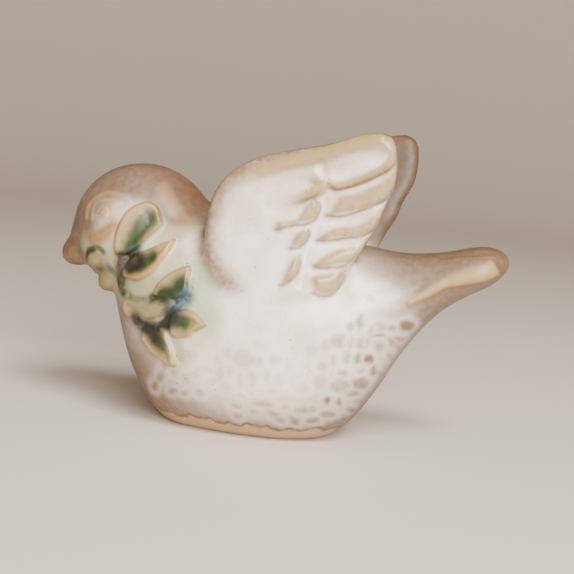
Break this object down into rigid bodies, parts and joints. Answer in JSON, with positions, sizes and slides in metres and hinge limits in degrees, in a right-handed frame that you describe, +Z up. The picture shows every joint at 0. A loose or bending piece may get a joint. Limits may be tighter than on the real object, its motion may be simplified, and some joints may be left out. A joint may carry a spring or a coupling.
{
  "type": "dove figurine",
  "caption": "Glazed stoneware dove figurine: plump body on a flat foot, raised wings with carved feathers, and an olive sprig in relief on its left side.",
  "frame": {"origin": "middle of the flat foot, on the surface it stands on", "axes": "-X the way the beak points, +X towards the tail, -Y the bird's left with the sprig, +Z up"},
  "size_m": [0.1084, 0.0446, 0.0729],
  "materials": {
    "stoneware": "semi-gloss milky white reactive glaze that breaks to tan on raised carving, stained green around the sprig"
  },
  "bodies": {
    "root": {"dove": "stoneware"}
  },
  "joints": []
}
